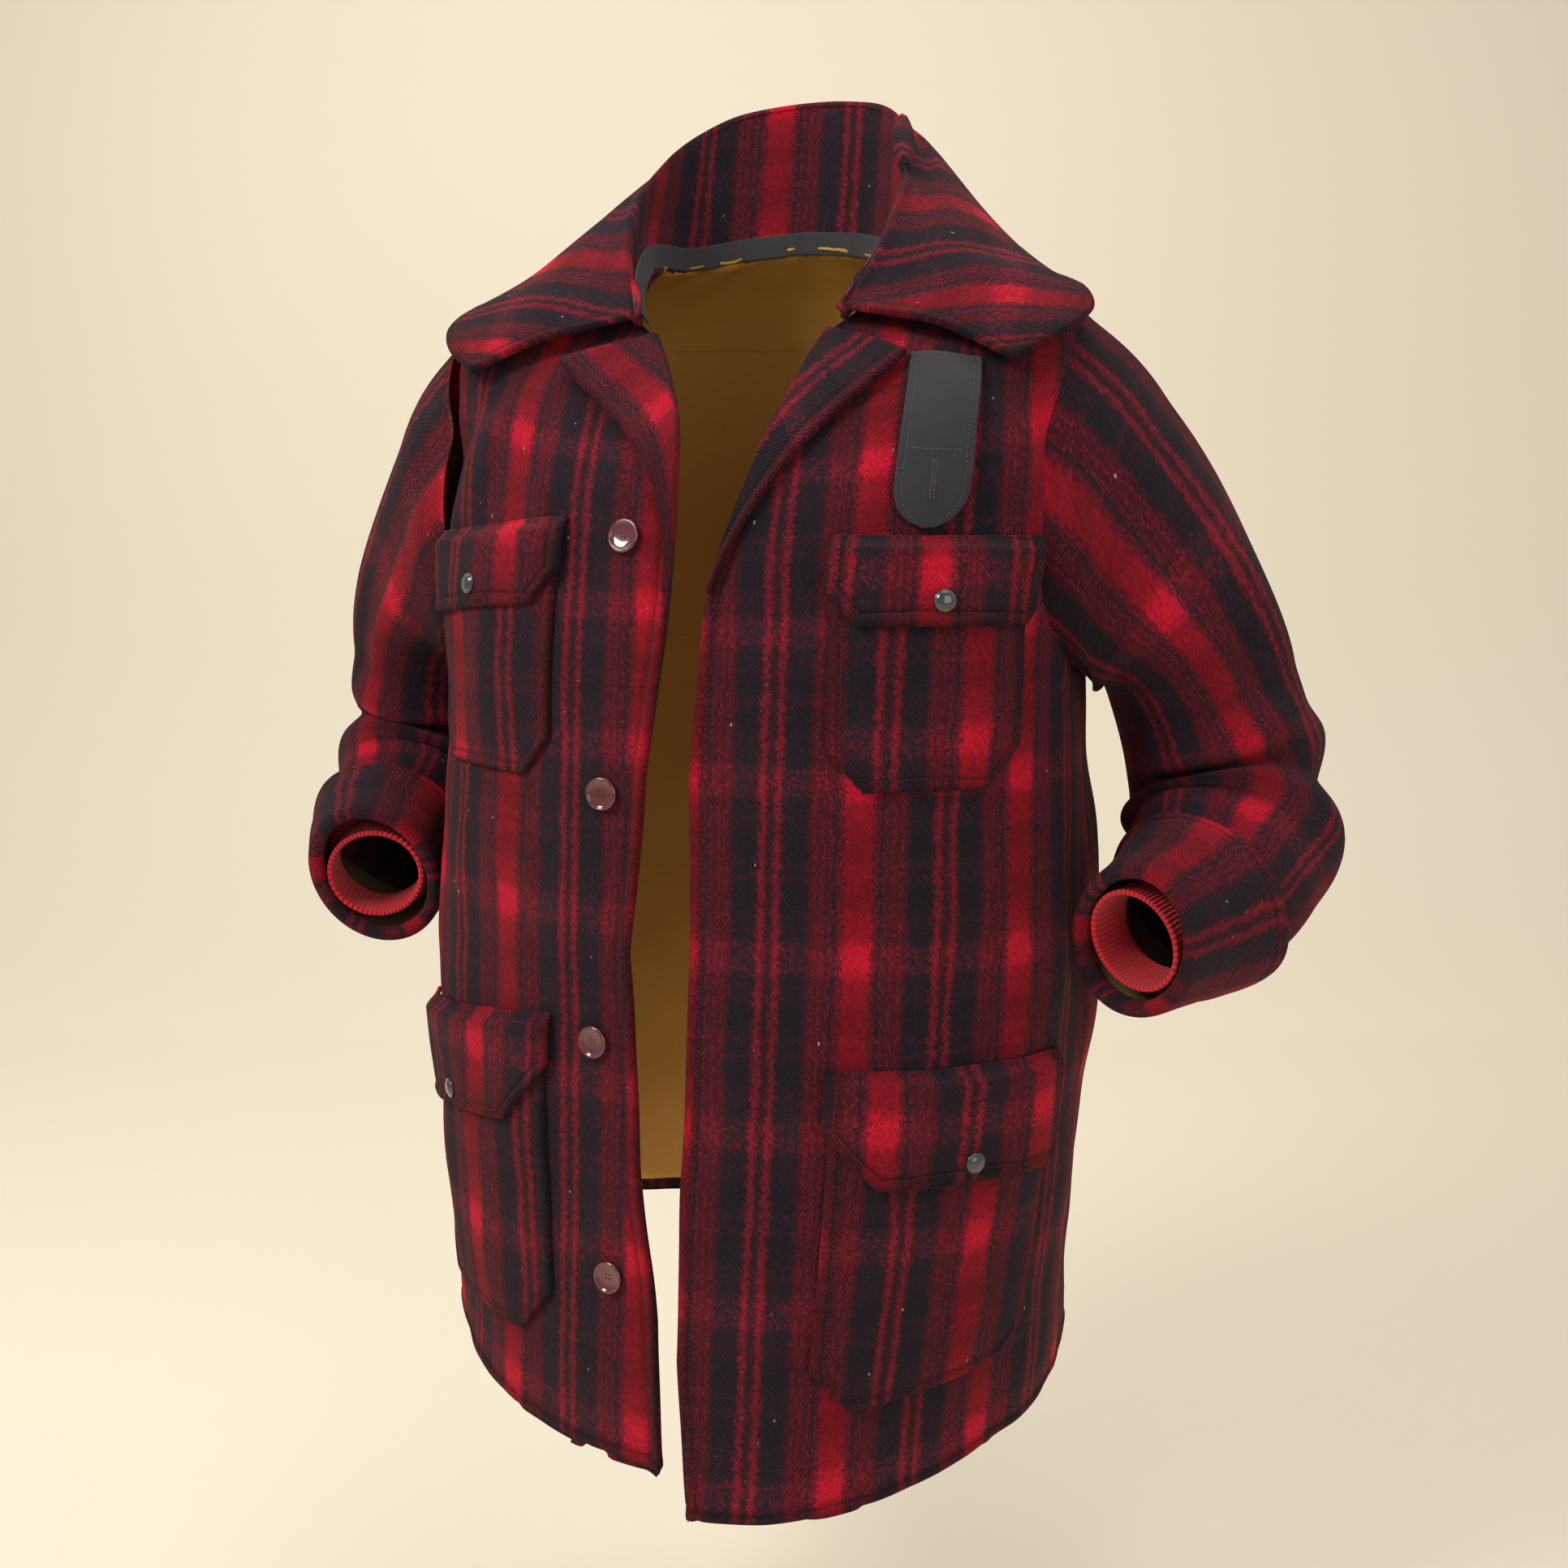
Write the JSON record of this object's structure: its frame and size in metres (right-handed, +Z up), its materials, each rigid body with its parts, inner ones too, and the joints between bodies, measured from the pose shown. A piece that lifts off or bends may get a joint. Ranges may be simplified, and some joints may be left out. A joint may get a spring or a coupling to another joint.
{
  "type": "mackinaw jacket",
  "caption": "Hip-length wool plaid mackinaw jacket worn open, with a wide spread collar, lapels, flap pockets, buttons, a throat tab and turned-back cuffs over knit cuffs.",
  "frame": {"origin": "midway between the shoulders, where the wearer's shoulders carry the jacket", "axes": "+Z up, the wearer faces -Y, the wearer's left is +X"},
  "size_m": [0.8486, 0.449, 1.0069],
  "materials": {
    "wool": "fuzzy heavy wool twill in a red and black shadow plaid",
    "wool_dark": "the same wool plaid where it lies in shade",
    "lining": "mustard satin lining",
    "sleeve_lining": "olive brown twill lining",
    "knit": "bright red ribbed knit",
    "tape": "dark grey cotton twill",
    "button": "glossy dark red button with a raised rim",
    "snap": "dark metal snap cap"
  },
  "bodies": {
    "root": {"back": "wool_dark", "facing_left": "wool_dark", "facing_right": "wool_dark", "front_left": "wool", "front_right": "wool", "lapel_left": "wool", "lapel_right": "wool", "sleeve_left": "wool", "sleeve_right": "wool", "cuff_left": "wool", "cuff_right": "wool", "collar": "wool", "chest_pocket_left": "wool", "chest_pocket_right": "wool", "hip_pocket_left": "wool", "hip_pocket_right": "wool", "chest_flap_left": "wool", "chest_flap_right": "wool", "hip_flap_left": "wool", "hip_flap_right": "wool", "lining_back": "lining", "lining_front_left": "lining", "lining_front_right": "lining", "sleeve_lining_left": "sleeve_lining", "sleeve_lining_right": "sleeve_lining", "storm_cuff_left": "knit", "storm_cuff_right": "knit", "neck_binding": "tape", "throat_tab": "tape", "chest_snap_left": "snap", "chest_snap_right": "snap", "hip_snap_left": "snap", "hip_snap_right": "snap", "button_1": "button", "button_2": "button", "button_3": "button", "button_4": "button"}
  },
  "joints": []
}
